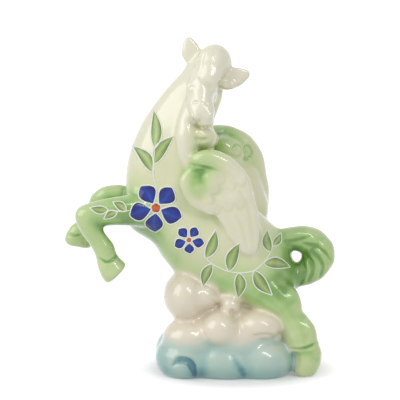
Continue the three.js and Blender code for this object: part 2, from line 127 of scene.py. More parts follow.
def smoothed(field, sigma):
    """The field under a Gaussian blur."""
    reach = math.ceil(BLUR_REACH * sigma / VOXEL)
    taps = np.exp(-0.5 * (np.arange(reach + 1) * VOXEL / sigma) ** 2).astype(np.float32)
    taps /= 2 * taps.sum() - taps[0]
    for axis in range(3):
        line = np.ascontiguousarray(np.moveaxis(field, axis, 0))
        count = line.shape[0]
        padded = np.pad(line, ((reach, reach), (0, 0), (0, 0)), mode="edge")
        total = taps[0] * line
        for step in range(1, reach + 1):
            total += taps[step] * padded[reach - step:reach - step + count]
            total += taps[step] * padded[reach + step:reach + step + count]
        field = np.moveaxis(total, 0, axis)
    return np.ascontiguousarray(field)


def smooth_min(first, second, blend):
    """The lower of two fields, with a fillet of about the blend's size between them."""
    share = np.clip(0.5 + 0.5 * (second - first) / blend, 0, 1)
    return second + (first - second) * share - blend * share * (1 - share)


def window(low, high):
    """The slices of the lattice inside a box, and the coordinates there."""
    parts = []
    for i in range(3):
        start = max(0, int((low[i] / VOXEL) - FIRST[i]))
        stop = min(SHAPE[i], int(math.ceil(high[i] / VOXEL)) - FIRST[i] + 1)
        parts.append(slice(start, max(start, stop)))
    places = np.meshgrid(*(AXES[i][parts[i]] for i in range(3)), indexing="ij", sparse=True)
    return tuple(parts), places


def ellipsoid_distance(places, centre, radii):
    """About the distance to an ellipsoid whose axes lie along X, Y and Z."""
    scaled = [(places[i] - centre[i]) / radii[i] for i in range(3)]
    length = np.sqrt(sum(part * part for part in scaled))
    slope = np.sqrt(sum((scaled[i] / radii[i]) ** 2 for i in range(3)))
    return length * (length - 1) / np.maximum(slope, TINY)


def sample(field, points):
    """Values of a field at points, by trilinear interpolation."""
    index = points / VOXEL - FIRST
    base = np.clip(np.floor(index).astype(int), 0, np.array(SHAPE) - 2)
    part = index - base
    value = 0
    for corner in np.ndindex(2, 2, 2):
        weight = np.prod(np.where(corner, part, 1 - part), axis=1)
        value = value + weight * field[tuple((base + corner).T)]
    return value


def slope_of(field, points):
    """Unit vectors that point out of a field's surface at points."""
    steps = VOXEL * np.eye(3)
    slope = np.stack([sample(field, points + step) - sample(field, points - step) for step in steps], axis=1)
    return slope / np.maximum(np.linalg.norm(slope, axis=1, keepdims=True), TINY)


# The castings as fields

# Each casting's softness, the sigma in millimetres of the blur that stands for the firing, and how green it
# is sprayed, from none to full
CASTINGS = {
    "torso": (4.0, 0.24),
    "neck": (4.0, 0.14),
    "cloud_base": (0.8, 0.0),
    "near_foreleg": (1.8, 0.72),
    "far_foreleg": (1.8, 0.76),
    "near_hind_leg": (1.4, 0.78),
    "far_hind_leg": (1.4, 0.78),
    "near_wing": (1.5, 0.16),
    "far_wing": (1.5, 0.24),
    "tail": (1.8, 0.78),
    "head": (1.1, 0.05),
    "forelock": (1.4, 0.08),
    "near_ear": (0.8, 0.04),
    "far_ear": (0.8, 0.04),
    "side_lock": (1.5, 0.03),
    "crest_lock": (1.6, 0.14),
    "collar_lock": (1.5, 0.12),
}
NAMES = list(CASTINGS)
SOFTNESS = np.array([softness * MM for softness, _ in CASTINGS.values()], np.float32)
GREEN_SPRAY = np.array([green for _, green in CASTINGS.values()], np.float32)
# Sigmas of the blurs that make up each softness, and of the blur between one casting's softness and the next
FINE_BLUR = 0.8 * MM
MIDDLE_BLUR = 1.8 * MM
BROAD_BLUR = 4.0 * MM
SOFTNESS_BLUR = 2.5 * MM
# The films of slip close as the union grows by this much and shrinks back.
SEAM_FILL = 0.4 * MM


def node_points(name):
    """Points and triangles of a casting."""
    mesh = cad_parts[name].data
    points = np.empty(len(mesh.vertices) * 3, np.float32)
    mesh.vertices.foreach_get("co", points)
    mesh.calc_loop_triangles()
    triangles = np.empty(len(mesh.loop_triangles) * 3, np.int32)
    mesh.loop_triangles.foreach_get("vertices", triangles)
    return points.reshape(-1, 3), triangles.reshape(-1, 3).astype(np.uint32)


# Puffs of the cloud as centres and radii in millimetres, from the middle of its foot: the lobes, which
# lie at plus and minus Y, and the puffs that only one side has.
CLOUD_CORE = ((1, 0, 12), (36, 25, 35))
CLOUD_LOBES = [
    ((-22, 10, 10), (18.5, 20.5, 15)),
    ((2, 11.5, 9), (25, 19.5, 14)),
    ((22.5, 10, 9.5), (20.5, 20.5, 15.5)),
]
NEAR_PUFFS = [
    ((-22.3, -9, 47), (13.2, 17, 15)),
    ((-10.8, -14, 48), (7.6, 9, 8)),
    ((-20, -13, 22), (16, 15, 12.5)),
    ((-2, -20.5, 29), (11, 11, 10.6)),
    ((4.4, -16, 43), (6, 7, 6)),
    ((22, -15.5, 31), (13.8, 13.5, 9.2)),
    ((8, -12, 22), (20, 16, 12)),
]
FAR_PUFFS = [
    ((-19, 14, 40), (14, 14, 15)),
    ((-12, 17, 31), (14, 12, 13)),
    ((9, 18, 27), (14, 12, 12.5)),
    ((27, 14, 25), (13, 13, 11)),
]
PUFF_BLEND = 3.0 * MM


def cloud_field():
    """The cloud as one heap of smooth puffs, cut flat where it stands."""
    low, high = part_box("cloud_base")
    foot = np.array([(low.x + high.x) / 2, 0, 0])
    lobes = [((x, hand * y, z), radii) for (x, y, z), radii in CLOUD_LOBES for hand in (NEAR, FAR)]
    field = np.full(SHAPE, BAND * VOXEL, np.float32)
    for centre, radii in [CLOUD_CORE, *lobes, *NEAR_PUFFS, *FAR_PUFFS]:
        middle = foot + np.array(centre) * MM
        reach = np.array(radii) * MM + BAND_WIDTH
        part, places = window(middle - reach, middle + reach)
        puff = ellipsoid_distance(places, middle, np.array(radii) * MM)
        field[part] = smooth_min(field[part], puff.astype(np.float32), PUFF_BLEND)
    return np.maximum(field, -AXES[2])


def fuse_castings():
    """The union of all castings, with the seams filled, and each voxel's nearest casting."""
    union = np.full(SHAPE, BAND * VOXEL, np.float32)
    owner = np.zeros(SHAPE, np.uint8)
    for index, name in enumerate(NAMES):
        points, triangles = node_points(name)
        field = cloud_field() if name == "cloud_base" else distance_field(points, triangles=triangles)
        nearer = field < union
        union[nearer] = field[nearer]
        owner[nearer] = index
    points, quads = zero_surface(union - SEAM_FILL)
    return distance_field(points, quads=quads) + SEAM_FILL, owner


def soften(union, owner):
    """The union, blurred in each place as much as its casting is."""
    softness = smoothed(SOFTNESS[owner], SOFTNESS_BLUR)
    least = np.clip((MIDDLE_BLUR - softness) / (MIDDLE_BLUR - FINE_BLUR), 0, 1)
    most = np.clip((softness - MIDDLE_BLUR) / (BROAD_BLUR - MIDDLE_BLUR), 0, 1)
    result = least * smoothed(union, FINE_BLUR)
    result += most * smoothed(union, BROAD_BLUR)
    result += (1 - least - most) * smoothed(union, MIDDLE_BLUR)
    return result


union, owner = fuse_castings()
skin = soften(union, owner)


# Relief: strokes drawn through pixels of the photograph onto the skin

# A step of this length between neighbouring rays is a fold that hides the skin behind it.
FOLD = 4 * MM
# The fewest points that make a stroke
SHORTEST_RUN = 3
# A stroke's usual fillet and the margin round it, in millimetres
LINE_FILLET = 0.8
STROKE_MARGIN = 1.0
# The share of a stroke over which each end runs out, by what power, and the share of its radius left there
RUN_OUT = 0.25
RUN_OUT_POWER = 0.6
END_RADIUS = 0.4


def smooth_path(knots, spans=8):
    """A smooth line through a list of knots, with this many steps from each to the next."""
    knots = np.array(knots, float)
    ends = np.concatenate([[2 * knots[0] - knots[1]], knots, [2 * knots[-1] - knots[-2]]])
    share = np.linspace(0, 1, spans, endpoint=False)[:, None]
    parts = []
    for before, start, end, after in zip(ends, ends[1:], ends[2:], ends[3:]):
        square = (2 * before - 5 * start + 4 * end - after) * share ** 2
        cube = (3 * start - before - 3 * end + after) * share ** 3
        parts.append(start + 0.5 * ((end - before) * share + square + cube))
    return np.concatenate([*parts, knots[-1:]])


def on_skin(tree, pixels, hand=NEAR):
    """Where the rays through pixels meet the skin, and the skin's normals there."""
    hits = [tree.ray_cast(*photo_ray(pixel, hand))[0] for pixel in pixels]
    places = np.array([hit for hit in hits if hit], float).reshape(-1, 3)
    return places, slope_of(skin, places)


def tube_distance(places, line, radii):
    """Distance to a round tube along a line, whose radius changes from point to point."""
    nearest = None
    for start, end, start_radius, end_radius in zip(line, line[1:], radii, radii[1:]):
        axis = end - start
        along = sum((places[i] - start[i]) * axis[i] for i in range(3)) / max(axis @ axis, TINY)
        along = np.clip(along, 0, 1)
        square = sum((places[i] - start[i] - along * axis[i]) ** 2 for i in range(3))
        reach = np.sqrt(square) - start_radius - (end_radius - start_radius) * along
        nearest = reach if nearest is None else np.minimum(nearest, reach)
    return nearest


def draw(field, knots, radius, height, hand=NEAR, fillet=LINE_FILLET):
    """Raises a ridge on the skin along a line of pixels, or cuts a groove where the height is negative.

    Sizes are in millimetres. Where the line passes from one fold to another that lies behind it, the stroke
    stops and starts again.
    """
    places, normals = on_skin(bare_skin, smooth_path(knots), hand)
    steps = np.linalg.norm(np.diff(places, axis=0), axis=1)
    for run in np.split(np.arange(len(places)), np.flatnonzero(steps > FOLD) + 1):
        if len(run) >= SHORTEST_RUN:
            stroke(field, places[run], normals[run], radius, height, fillet)


def stroke(field, places, normals, radius, height, fillet):
    """One unbroken ridge or groove along places on the skin."""
    along = np.linspace(0, 1, len(places))
    share = np.clip(np.minimum(along, 1 - along) / RUN_OUT, 0, 1) ** RUN_OUT_POWER
    radii = radius * MM * (END_RADIUS + (1 - END_RADIUS) * share)
    heights = height * MM * share
    sink = heights - radii if height > 0 else heights + radii
    line = places + normals * sink[:, None]
    reach = (radius + fillet + STROKE_MARGIN) * MM
    part, around = window(line.min(axis=0) - reach, line.max(axis=0) + reach)
    tube = tube_distance(around, line, radii).astype(np.float32)
    if height > 0:
        field[part] = smooth_min(field[part], tube, fillet * MM)
    else:
        field[part] = -smooth_min(-field[part], tube, fillet * MM)


def surface_tree(field):
    """The skin's surface, ready for rays."""
    places, faces = zero_surface(field)
    return BVHTree.FromPolygons(places.tolist(), faces.tolist())


# How far the far wing and the far hind leg stand from the near ones' mirror images, in pixels
FAR_WING_STEP = np.array([10.9, -10.8])
FAR_HIND_STEP = np.array([-11.8, 0])

# Slip that fills hollows and edges out, as pixels with the radius, height and fillet in millimetres: first on
# both wings, then on what only the near side shows
WING_FILLS = [
    ([(206, 174), (206, 182), (208, 190)], 6.0, 0.6, 5.0),
    ([(198, 167), (197, 180), (198, 192)], 4.0, 3.5, 4.0),
    ([(232, 192), (240, 218), (247, 248)], 9.0, 0.4, 5.0),
]
NEAR_FILLS = [
    ([(205, 53), (213, 48.5), (221, 52)], 7.0, 1.6, 3.0),
    ([(188, 84), (189.5, 97), (191.5, 108), (195, 119)], 2.5, 0.8, 2.5),
    ([(197, 133), (205, 136), (213, 134)], 4.0, 1.8, 3.0),
    ([(187, 131), (193, 141), (203, 144), (212, 141)], 5.0, 1.2, 4.0),
    ([(219, 133), (230, 134.5), (242, 141), (253, 151)], 4.5, 5.0, 4.5),
    ([(222, 142), (236, 148), (250, 158)], 4.0, 1.2, 6.0),
    ([(240, 136), (252, 149), (259, 166)], 4.0, 1.2, 5.0),
    ([(234, 149), (236, 150)], 4.4, 1.3, 1.2),
    ([(246, 152.5), (247.5, 153.5)], 3.8, 1.2, 1.2),
    ([(216, 299), (220, 298), (224, 298)], 2.5, 1.5, 2.0),
    ([(276, 337), (279, 336), (281.5, 335)], 3.0, 2.2, 2.0),
    ([(292, 290), (297, 299), (299, 311)], 5.0, 1.5, 3.0),
    ([(292, 237), (305, 232), (318, 234), (327, 242), (331, 254), (328, 267)], 7.0, 1.7, 4.0),
    ([(98, 195), (108, 191.5), (118, 190.5), (128, 191)], 5.0, 2.6, 3.0),
    ([(75, 226), (71, 233), (69.5, 239.5)], 3.5, 1.3, 4.0),
    ([(256, 152), (259.5, 165), (262, 185), (263, 203)], 4.0, 1.5, 4.0),
    ([(308, 322), (312, 332), (313.5, 342), (318, 352)], 4.0, 1.8, 3.0),
    ([(222, 85), (228, 85.5), (234, 84)], 2.6, 2.2, 2.0),
]

bare_skin = surface_tree(skin)
filled = skin.copy()
for knots, radius, height, fillet in WING_FILLS:
    draw(filled, knots, radius, height, NEAR, fillet)
    draw(filled, np.array(knots) + FAR_WING_STEP, radius, height, FAR, fillet)
for knots, radius, height, fillet in NEAR_FILLS:
    draw(filled, knots, radius, height, NEAR, fillet)
skin = filled


# Knots of each arc in a row of feathers, and the power that makes the arc full
ARC_KNOTS = 7
ARC_FULLNESS = 0.8


def scallops(start, end, count, sag):
    """A row of hanging arcs between two pixels."""
    start, end = np.array(start, float), np.array(end, float)
    step = (end - start) / count
    hang = np.array([-step[1], step[0]]) * sag / np.linalg.norm(step)
    share = np.linspace(0, 1, ARC_KNOTS)[:, None]
    arc = np.sin(math.pi * share) ** ARC_FULLNESS * hang
    return [start + (i + share) * step + arc for i in range(count)]


# Lines of the photograph as pixels, with the stroke's radius and height in millimetres
HEAD_LINES = [
    ([(199, 76), (204, 81.5), (210, 85.5), (217, 88.5), (223, 90)], 1.4, -0.8),
    ([(206, 48), (202.5, 60), (201.5, 74)], 1.4, -0.15),
    ([(189, 88.5), (192, 86.3), (195.5, 87.5)], 0.7, -0.5),
    ([(208.5, 88), (211.5, 87), (214, 89.5)], 0.7, -0.4),
    ([(192, 103.2), (195, 102.2), (198, 102.8)], 0.8, -0.8),
    ([(203.5, 104), (206, 103.4), (208, 105)], 0.8, -0.4),
    ([(190.5, 109.5), (192.5, 114), (194, 120), (198, 124)], 0.7, -0.6),
    ([(195, 123.5), (201, 127), (208, 126)], 1.0, -0.7),
    ([(194, 137), (201, 140), (209, 138.5)], 1.5, -0.9),
]
PRIMARY_LINES = [
    ([(240, 190), (248, 208), (252, 228), (254, 246)], 1.3, -0.3),
    ([(236, 216), (243, 230), (247, 250)], 1.3, -0.3),
]
HOOD_LINES = [([(190, 164), (199, 166), (209, 168), (219, 171)], 1.0, -0.6)]
# Rows of coverts as the pixels of both ends, the number of feathers and how far they hang, in pixels
COVERT_ROWS = [
    ((207, 205), (224, 175), 3, 5),
    ((210, 210), (246, 202), 3, 7),
    ((226, 188), (247, 179), 2, 6),
]
COVERT_RADIUS = 1.3
COVERT_DEPTH = 0.25
COVERT_ARCS = [arc for row in COVERT_ROWS for arc in scallops(*row)]
WING_LINES = HOOD_LINES + PRIMARY_LINES + [(arc, COVERT_RADIUS, -COVERT_DEPTH) for arc in COVERT_ARCS]
HOOF_LINES = [
    ([(289, 348.5), (299, 349.5), (310, 346.5), (317, 342)], 1.2, -1.0),
]
FORE_HOOF_LINES = [
    ([(99, 258), (106, 262), (113, 259.5), (118, 253.5)], 1.0, -0.9),
    ([(66, 232), (74, 235.5), (82, 234.5)], 0.9, -0.7),
]
STRAND_FILLET = 1.5
TAIL_LINES = [
    ([(286, 241), (299, 239), (309, 236.5)], 1.2, -0.2),
    ([(304, 243), (317, 246.5), (326, 253), (332, 261)], 1.3, -0.45),
    ([(312, 250), (320, 259), (323.5, 268), (320, 277)], 1.3, -0.5),
    ([(306, 255.5), (312, 264), (312.5, 273.5), (308.5, 281)], 1.3, -0.5),
    ([(302.5, 263), (304.5, 272.5), (300.5, 284)], 1.2, -0.4),
]
CLOUD_LINES = [
    ([(172, 366), (179, 360.5), (187.5, 361.5), (192.5, 367), (195, 377)], 2.6, -2.4),
    ([(232, 356), (238, 365), (244, 376)], 4.5, -0.6),
    ([(254, 336), (265, 335), (275, 336.5)], 1.6, -0.8),
    ([(180, 323), (188, 321), (196, 326)], 1.4, -0.5),
    ([(231, 310), (233.5, 314), (237, 317)], 1.8, -1.4),
]
CURL_RADIUS = 0.9
CURL_DEPTH = 0.8
CURLS = [
    [(230, 154), (236, 157.5), (241.5, 154), (241.5, 147), (236.5, 144.5), (233, 148.5), (236.5, 151.5)],
    [(241, 159), (247, 159), (251.5, 154), (250, 147.5), (245.5, 146.5), (244, 151), (247, 152.5)],
]
CURL_LINES = [(knots, CURL_RADIUS, -CURL_DEPTH) for knots in CURLS]

bare_skin = surface_tree(skin)
relief = skin.copy()
NEAR_LINES = HEAD_LINES + WING_LINES + CURL_LINES + FORE_HOOF_LINES + HOOF_LINES + CLOUD_LINES
for knots, radius, height in NEAR_LINES:
    draw(relief, knots, radius, height)
for knots, radius, height in WING_LINES:
    draw(relief, np.array(knots) + FAR_WING_STEP, radius, height, FAR)
for knots, radius, height in HOOF_LINES:
    draw(relief, np.array(knots) + FAR_HIND_STEP, radius, height, FAR)
for knots, radius, height in TAIL_LINES:
    draw(relief, knots, radius, height, NEAR, STRAND_FILLET)
skin = relief


# The skin as pieces

# Rounds of the vote that straightens the seams, the weight of a face's own vote, and rounds of giving loose
# patches to their neighbours
VOTE_ROUNDS = 12
OWN_VOTE = 1.5
JOIN_ROUNDS = 4
# Membranes inside the pieces: their rings, how deep the first lies and how many times deeper they go
CAP_RINGS = 6
CAP_DEPTH = 0.8 * MM
CAP_STEPS = 3
# Rounds of moving points in, the cover that a membrane keeps under the skin and the step that it moves by
SINK_ROUNDS = 6
COVER_ROUNDS = 12
LEAST_COVER = 0.1 * MM
COVER_STEP = 0.4 * MM


def components(count, pairs):
    """A component number for each of count things that pairs join."""
    lead = np.arange(count)
    while True:
        low = np.minimum(lead[pairs[:, 0]], lead[pairs[:, 1]])
        before = lead.copy()
        np.minimum.at(lead, pairs[:, 0], low)
        np.minimum.at(lead, pairs[:, 1], low)
        lead = lead[lead]
        if np.array_equal(before, lead):
            return lead


def shared_edges(quads):
    """Pairs of faces that share an edge."""
    edges = np.sort(np.stack([quads, np.roll(quads, -1, axis=1)], axis=2).reshape(-1, 2), axis=1)
    faces = np.repeat(np.arange(len(quads)), 4)
    order = np.lexsort((edges[:, 1], edges[:, 0]))
    edges, faces = edges[order], faces[order]
    same = np.all(edges[1:] == edges[:-1], axis=1)
    return np.stack([faces[:-1][same], faces[1:][same]], axis=1)


def divide(points, quads):
    """The casting that each face belongs to, in one patch for each casting."""
    centres = points[quads].mean(axis=1)
    index = np.round(centres / VOXEL - FIRST).astype(int)
    labels = owner[tuple(index.T)].astype(int)
    pairs = shared_edges(quads)
    both = np.concatenate([pairs, pairs[:, ::-1]])
    for _ in range(VOTE_ROUNDS):
        votes = np.zeros((len(quads), len(NAMES)), np.float32)
        votes[np.arange(len(quads)), labels] = OWN_VOTE
        np.add.at(votes, (both[:, 0], labels[both[:, 1]]), 1)
        labels = votes.argmax(axis=1)
    for _ in range(JOIN_ROUNDS):
        alike = pairs[labels[pairs[:, 0]] == labels[pairs[:, 1]]]
        patch = components(len(quads), alike)
        sizes = np.bincount(patch, minlength=len(quads))
        largest = np.zeros(len(NAMES), int)
        np.maximum.at(largest, labels, sizes[patch])
        loose = sizes[patch] < largest[labels]
        if not loose.any():
            break
        edge = both[loose[both[:, 0]] & ~loose[both[:, 1]]]
        labels[edge[:, 0]] = labels[edge[:, 1]]
        moved = dict(zip(patch[edge[:, 0]], labels[edge[:, 1]]))
        for start, label in moved.items():
            labels[patch == start] = label
    return labels


def sunk(places, depth):
    """Places moved under the skin, where they aren't this deep already."""
    for _ in range(SINK_ROUNDS):
        lift = np.clip(sample(skin, places) + depth, 0, None)
        places = places - lift[:, None] * slope_of(skin, places)
    return places


def add_caps(points, faces):
    """Points and faces that close each opening of a patch of skin with a membrane under the skin.

    The membrane is a series of rings that go straight in and then draw together to the opening's middle.
    """
    edges = np.stack([faces, np.roll(faces, -1, axis=1)], axis=2).reshape(-1, 2)
    _, first, counts = np.unique(np.sort(edges, axis=1), axis=0, return_index=True, return_counts=True)
    outer, rim = np.unique(edges[first[counts == 1]], return_inverse=True)
    rim = rim.reshape(-1, 2)
    _, opening = np.unique(components(len(outer), rim), return_inverse=True)
    ring = points[outer]
    middles = np.stack([np.bincount(opening, ring[:, i]) for i in range(3)], axis=1)
    middles = sunk(middles / np.bincount(opening)[:, None], CAP_DEPTH)
    rings, caps = [], []
    total = len(points)
    for step in range(CAP_RINGS):
        if step > 0:
            around = np.zeros_like(ring)
            np.add.at(around, rim[:, 0], ring[rim[:, 1]])
            np.add.at(around, rim[:, 1], ring[rim[:, 0]])
            ring = 0.5 * ring + 0.25 * around
            ring = ring + (middles[opening] - ring) / (CAP_RINGS + 1 - step)
        ring = sunk(ring, CAP_DEPTH * min(step + 1, CAP_STEPS))
        inner = total + np.arange(len(outer))
        total += len(outer)
        rings.append(ring)
        caps += [(outer[end], outer[start], inner[start], inner[end]) for start, end in rim]
        outer = inner
    caps += [(outer[end], outer[start], total + opening[start]) for start, end in rim]
    return under_skin(points, np.concatenate([*rings, middles]), caps), caps


def under_skin(points, hidden, caps):
    """A membrane's own points, moved further in wherever one of its faces comes up through the skin."""
    corners = np.array([(*cap, cap[-1])[:4] for cap in caps])
    for _ in range(COVER_ROUNDS):
        every = np.concatenate([points, hidden])
        places = np.concatenate([every[corners].mean(axis=1), every[corners[:, 2:]].mean(axis=1)])
        proud = (sample(skin, places) > -LEAST_COVER).reshape(2, -1).any(axis=0)
        moved = np.unique(corners[proud])
        moved = moved[moved >= len(points)] - len(points)
        if len(moved) == 0:
            break
        hidden[moved] -= COVER_STEP * slope_of(skin, hidden[moved])
    return hidden


def new_mesh(name, points, faces, masks):
    """A smooth mesh with masks that its material reads."""
    mesh = bpy.data.meshes.new(name)
    mesh.from_pydata(points, [], faces)
    for mask, values in masks.items():
        layer = mesh.attributes.new(mask, "FLOAT", "POINT")
        layer.data.foreach_set("value", np.array(values, np.float32))
    mesh.shade_smooth()
    return mesh


def add_object(name, data):
    """A new object in the scene."""
    thing = bpy.data.objects.new(name, data)
    bpy.context.scene.collection.objects.link(thing)
    return thing


def make_piece(name, points, faces, normals, masks):
    """One casting's patch of the skin as a closed mesh with the masks that its glaze reads."""
    used, faces = np.unique(faces, return_inverse=True)
    faces = faces.reshape(-1, 4)
    hidden, caps = add_caps(points[used], faces)
    masks = {mask: np.append(values[used], np.zeros(len(hidden))) for mask, values in masks.items()}
    mesh = new_mesh(name, np.concatenate([points[used], hidden]), [*faces.tolist(), *caps], masks)
    mesh.normals_split_custom_set_from_vertices(np.concatenate([normals[used], slope_of(skin, hidden)]))
    piece = add_object("skin_" + name, mesh)
    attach(piece, "root")
    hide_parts(name)
    return piece


# Glaze

def linear(red, green, blue):
    """A colour as the eye reads it, 0 to 255, as the light that a shader works with."""
    parts = np.array([red, green, blue]) / 255
    light = np.where(parts <= 0.04045, parts / 12.92, ((parts + 0.055) / 1.055) ** 2.4)
    return (*light.tolist(), 1.0)


# Glazes as ramps of colours, from where there is none of it to where it is full
GREEN_GLAZE = [
    (0.0, 236, 232, 213),
    (0.25, 222, 222, 184),
    (0.5, 196, 213, 152),
    (0.75, 158, 196, 114),
    (1.0, 104, 152, 60),
]
BLUE_GLAZE = [
    (0.0, 220, 216, 199),
    (0.3, 184, 205, 193),
    (0.6, 140, 183, 178),
    (1.0, 30, 104, 128),
]
BLUSH = linear(231, 220, 199)

# Passes of the airbrush as pixels of the photograph, with the radius in pixels and how much glaze each adds:
# green on the body and the wings, blue on the foot of the cloud; some passes are painted shade in creases and
# hollows
BODY_GREEN_AND_SHADE_PASSES = [
    ([(136, 232), (152, 247), (166, 264), (182, 282), (205, 292)], 16, 0.55),
    ([(240, 290), (268, 286), (290, 268)], 20, 0.42),
    ([(284, 238), (290, 262)], 13, 0.2),
    ([(126, 204)], 22, 0.3),
    ([(166, 164)], 20, 0.1),
    # Painted shade under the wing
    ([(190, 206), (204, 216)], 10, 0.15),
    # Painted shade in the creases under the chin
    ([(193, 136), (202, 141), (211, 138)], 7, 0.24),
    # Painted shade in the crease between the face and the crest
    ([(219, 92), (216, 106)], 4, 0.12),
]
WING_GREEN_AND_SHADE_PASSES = [
    ([(190, 158), (200, 153), (212, 155)], 11, 0.45),
    ([(187, 176), (189, 190)], 9, 0.3),
    # Painted shade in the hollow under the hood, on both wings
    ([(201, 172), (202, 182)], 9, 0.5),
]
SEA_BLUE_AND_SHADE_PASSES = [
    ([(156, 345), (155, 358), (160, 372)], 8, 0.3),
    # Deeper blue glaze and painted shade in the swirl's groove
    ([(190, 362), (194, 372)], 6, 0.35),
    # Deeper blue glaze and painted shade in the crease between the lower lobes
    ([(238, 366), (243, 374)], 5, 0.2),
]
FAR_WING_PASSES = [
    ([(224, 142), (238, 147), (252, 156)], 14, 0.24),
]
# Sigmas of the blurs between one casting's green and the next, and between one casting's share and the next
GREEN_BLUR = 6 * MM
SHARE_BLUR = 1.5 * MM
# How high the blue climbs the cloud, how much of it the foot has, and the power by which it fades
SEA_RISE = 27 * MM
SEA_BLUE = 0.7
SEA_FADE = 0.85
# Glaze pools in hollows and thins out on ridges, and the deeper colour in the hollows is also painted shade:
# their size, the depth of a full pool, and the least and the most that counts
HOLLOW_SIZE = 1.6 * MM
HOLLOW_DEPTH = 0.5 * MM
THINNEST = -0.4
FULLEST = 1.3
# What a pool adds, as deeper glaze and painted shade: a tint of green all over the horse, and more of the
# green, blue and blush that are there already, with the most blue that counts for it. The near ear has some
# blush too.
POOL_AND_SHADE_TINT = 0.06
POOL_AND_SHADE_GREEN = 0.5
POOL_AND_SHADE_BLUE = 0.75
POOL_AND_SHADE_BLUSH = 0.35
MOST_BLUE = 0.5
EAR_BLUSH = 0.4


def photo_pixels(points):
    """The pixels that show points of the near side, or the mirror images of the far side's points."""
    near = points * np.array([1, 0, 1]) - np.abs(points[:, 1:2]) * np.array([0, 1, 0])
    gap = near - np.array(CAMERA_PLACE)
    ahead = np.array((CAMERA_TARGET - CAMERA_PLACE).normalized())
    up = np.array([0, math.sin(CAMERA_RISE), math.cos(CAMERA_RISE)])
    scale = CAMERA_DISTANCE / (gap @ ahead) / PHOTO_SPAN
    return PHOTO_PIXELS * np.stack([0.5 + gap[:, 0] * scale, 0.5 - gap @ up * scale], axis=1)


def distance_to_path(pixels, knots):
    """How far each pixel lies from a line of pixels, or from a single one."""
    path = smooth_path(knots) if len(knots) > 1 else np.array(knots, float)
    return np.sqrt(np.min([((pixels - knot) ** 2).sum(axis=1) for knot in path], axis=0))


def sprayed_and_shaded(pixels, passes):
    """How much glaze some passes of the airbrush leave at each pixel, and the painted shade of the passes in
    creases and hollows.
    """
    spots = [(distance_to_path(pixels, knots) / radius, amount) for knots, radius, amount in passes]
    return sum(amount * np.exp(-0.5 * away ** 2) for away, amount in spots)


def share_of(points, name):
    """How far each point belongs to a casting, from 0 to 1 across its seam."""
    return sample(smoothed((owner == NAMES.index(name)).astype(np.float32), SHARE_BLUR), points)


def glaze_masks(points):
    """How much green, blue and blush the glaze holds at each point of the skin, with painted shade in hollows
    and creases.
    """
    cloud = share_of(points, "cloud_base")
    near_wing, far_wing = share_of(points, "near_wing"), share_of(points, "far_wing")
    pixels = photo_pixels(points)
    green = sample(smoothed(GREEN_SPRAY[owner], GREEN_BLUR), points)
    green += (1 - near_wing - far_wing) * sprayed_and_shaded(pixels, BODY_GREEN_AND_SHADE_PASSES)
    green += near_wing * sprayed_and_shaded(pixels, WING_GREEN_AND_SHADE_PASSES)
    green += far_wing * (sprayed_and_shaded(pixels - FAR_WING_STEP, WING_GREEN_AND_SHADE_PASSES) + sprayed_and_shaded(pixels, FAR_WING_PASSES))
    sea = SEA_BLUE * np.clip(1 - points[:, 2] / SEA_RISE, 0, 1) ** SEA_FADE
    blue = cloud * (sea + sprayed_and_shaded(pixels, SEA_BLUE_AND_SHADE_PASSES))
    # Deeper glaze and painted shade where the blurred skin is hollow, paler glaze on its ridges
    pool = np.clip(-sample(smoothed(skin, HOLLOW_SIZE), points) / HOLLOW_DEPTH, THINNEST, FULLEST)
    green = (green + pool * (POOL_AND_SHADE_TINT + POOL_AND_SHADE_GREEN * green)) * (1 - cloud)
    blue = blue + pool * POOL_AND_SHADE_BLUE * np.clip(blue, 0, MOST_BLUE)
    blush = cloud * (1 + POOL_AND_SHADE_BLUSH * pool) + EAR_BLUSH * share_of(points, "near_ear")
    masks = {"green": green, "blue": blue, "blush": blush}
    return {name: np.clip(mask, 0, 1) for name, mask in masks.items()}


# Shaders of the glazes

# Gloss of the clear coat over every glaze, and of the skin's glaze
COAT_ROUGHNESS = 0.04
GLAZE_ROUGHNESS = 0.3
GLAZE_COAT = 1.0
# The airbrush's mottle as the noise's scale and how far it shifts a mask, and the noise's detail
GREEN_MOTTLE = (70, 0.35)
BLUE_MOTTLE = (60, 0.4)
BLUSH_MOTTLE = (90, 0.3)
MOTTLE_DETAIL = 6
# How much blue hides the cream under it
SEA_COVER = 0.2
# The coat's ripple
RIPPLE_SCALE = 140
RIPPLE_STRENGTH = 0.06
RIPPLE_HEIGHT = 0.4 * MM
# Painted fields: their gloss, how much darker the edge and the tip are, and their specks
PAINT_ROUGHNESS = 0.25
PAINT_SPECULAR = 0.3
PAINT_COAT = 0.5
EDGE_DEPTH = 0.7
TIP_DEPTH = 0.3
SPECK_DEPTH = 0.5
SPECK_DETAIL = 5


def new_material(name):
    """A material with its node tree and its shader."""
    material = bpy.data.materials.new(name)
    material.use_nodes = True
    return material, material.node_tree, material.node_tree.nodes["Principled BSDF"]


def feed(tree, socket, value):
    """Sets a socket to a constant, or links it to another node's output."""
    if isinstance(value, bpy.types.NodeSocket):
        tree.links.new(value, socket)
    else:
        socket.default_value = value


def attribute(tree, name):
    """One of the masks that a mesh carries."""
    node = tree.nodes.new("ShaderNodeAttribute")
    node.attribute_name = name
    return node.outputs["Fac"]


def noise(tree, scale, detail):
    """Noise that keeps to the object."""
    place = tree.nodes.new("ShaderNodeTexCoord")
    node = tree.nodes.new("ShaderNodeTexNoise")
    node.inputs["Scale"].default_value = scale
    node.inputs["Detail"].default_value = detail
    tree.links.new(place.outputs["Object"], node.inputs["Vector"])
    return node.outputs["Fac"]


def calculated(tree, operation, *values):
    """The result of a sum over numbers and other nodes' outputs."""
    node = tree.nodes.new("ShaderNodeMath")
    node.operation = operation
    for socket, value in zip(node.inputs, values):
        feed(tree, socket, value)
    return node.outputs["Value"]


